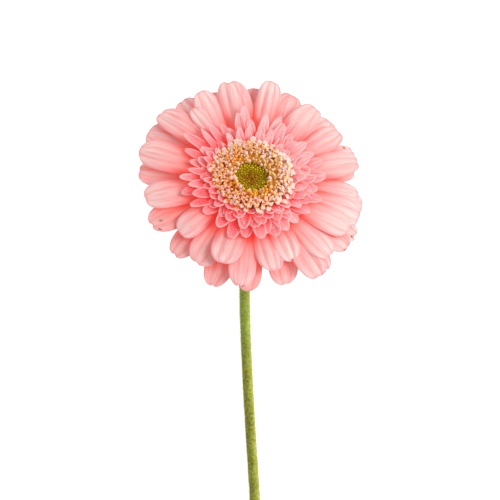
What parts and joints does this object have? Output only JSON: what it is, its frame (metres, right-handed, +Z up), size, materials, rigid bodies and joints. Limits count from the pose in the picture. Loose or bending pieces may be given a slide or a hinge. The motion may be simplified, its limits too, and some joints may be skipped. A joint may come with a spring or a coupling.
{
  "type": "cut gerbera",
  "caption": "Cut gerbera lying on its side: a double pink daisy bloom with a cream disc ring and green eye on a bare green stem.",
  "frame": {"origin": "on the surface that the flower lies on, under the middle of its box", "axes": "+Y along the stem from its cut end to the bloom, +Z up from the surface"},
  "size_m": [0.1005, 0.2946, 0.0488],
  "materials": {
    "petal_pink": "matt, soft petal",
    "inner_petal_pink": "matt, soft petal",
    "floret_cream": "matt, waxy floret",
    "bud_olive": "matt bud",
    "calyx_green": "matt, downy leaf",
    "stem_green": "matt, downy stem"
  },
  "bodies": {
    "root": {"ray_florets": "petal_pink", "inner_ray_florets": "inner_petal_pink", "open_disc_florets": "floret_cream", "closed_disc_florets": "bud_olive", "involucre": "calyx_green", "stem": "stem_green"}
  },
  "joints": []
}
